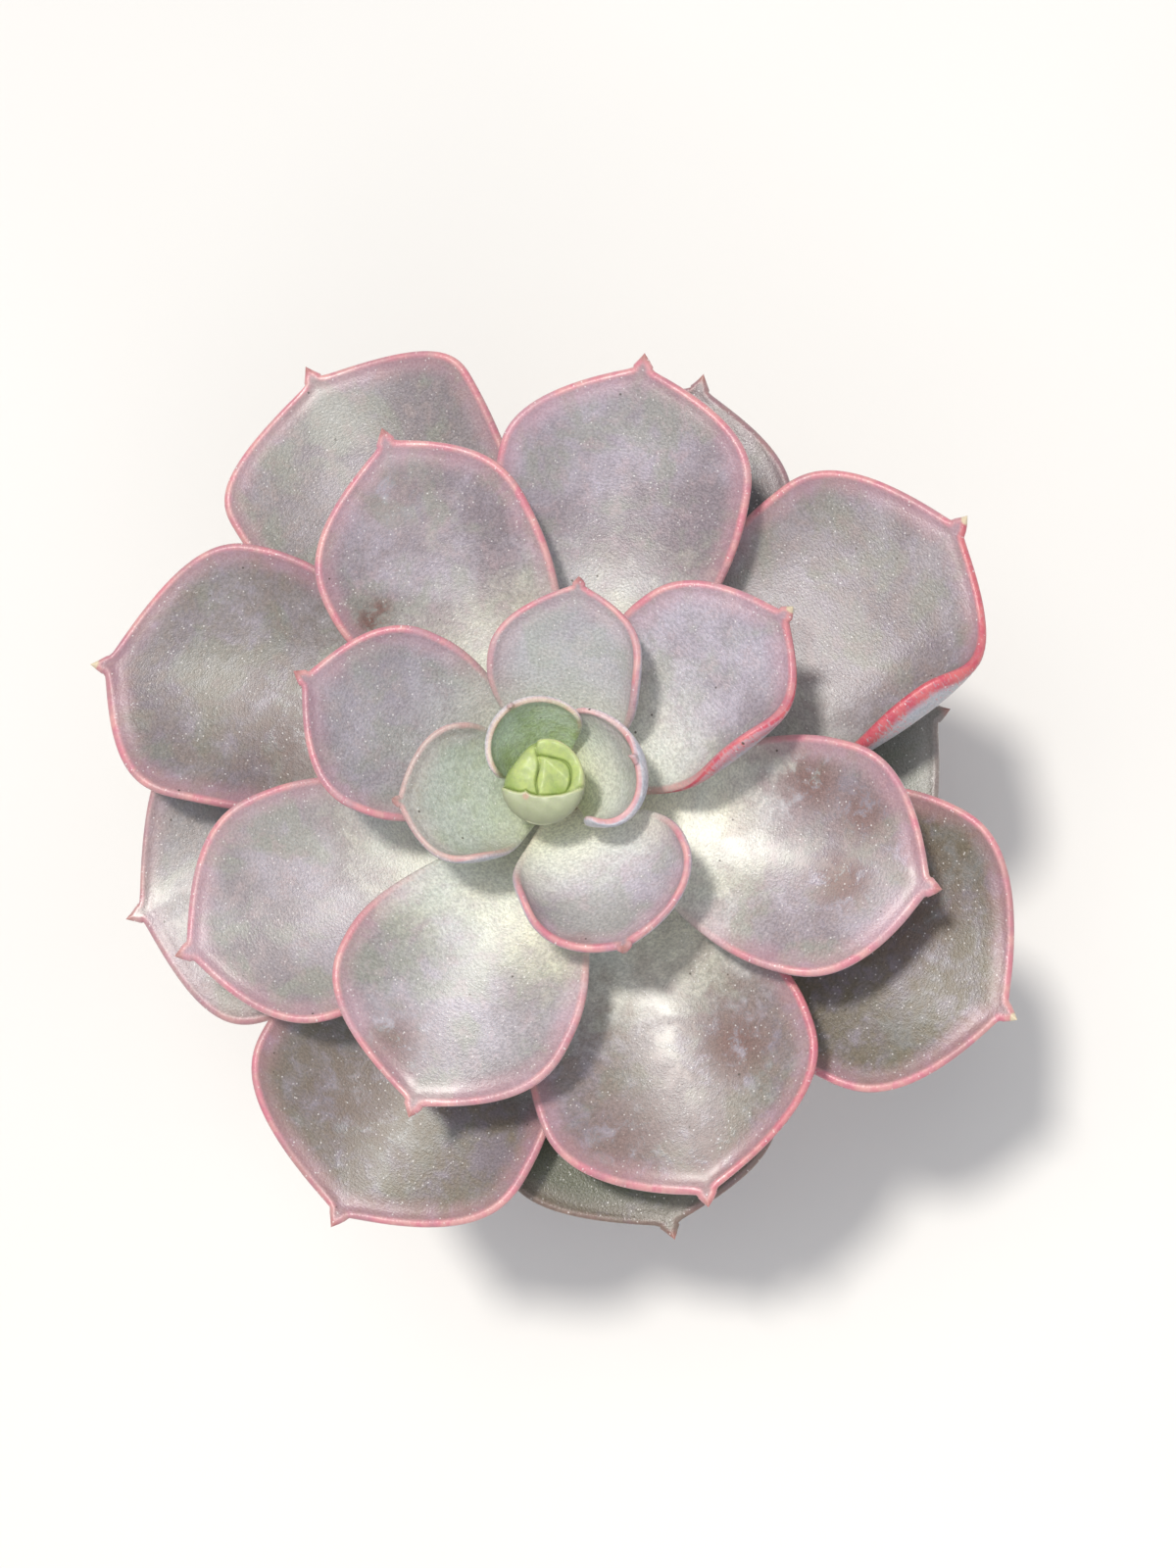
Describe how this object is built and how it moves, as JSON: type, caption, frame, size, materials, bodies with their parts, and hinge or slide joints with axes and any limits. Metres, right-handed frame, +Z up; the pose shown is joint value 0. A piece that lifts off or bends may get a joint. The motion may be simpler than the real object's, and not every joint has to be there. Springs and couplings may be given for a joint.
{
  "type": "potted echeveria",
  "caption": "Potted succulent: a broad open rosette of fleshy grey-lilac spoon leaves with pink margins and pointed tips, on a short stem in a plain clay pot of soil.",
  "frame": {"origin": "centre of the pot's foot, on the surface that it stands on", "axes": "+Z up along the pot's axis; seen from above with +Y up the page, the rosette lies as in the picture"},
  "size_m": [0.1909, 0.1868, 0.15],
  "materials": {
    "clay": "unglazed, matt",
    "soil": "rough, crumbly potting mix",
    "stem": "dull, woody skin",
    "young_leaf": "waxy, soft satin",
    "leaf": "waxy, satin, with a metallic sheen",
    "bud": "waxy, soft satin"
  },
  "bodies": {
    "root": {"pot": "clay", "soil": "soil", "stem": "stem", "leaf_01": "young_leaf", "leaf_02": "young_leaf", "leaf_03": "young_leaf", "leaf_04": "young_leaf", "leaf_05": "young_leaf", "leaf_06": "leaf", "leaf_07": "leaf", "leaf_08": "leaf", "leaf_09": "leaf", "leaf_10": "leaf", "leaf_11": "leaf", "leaf_12": "leaf", "leaf_13": "leaf", "leaf_14": "leaf", "leaf_15": "leaf", "leaf_16": "leaf", "leaf_17": "leaf", "leaf_18": "leaf", "leaf_19": "leaf", "leaf_20": "leaf", "leaf_21": "leaf", "leaf_22": "leaf", "bud": "bud"}
  },
  "joints": []
}
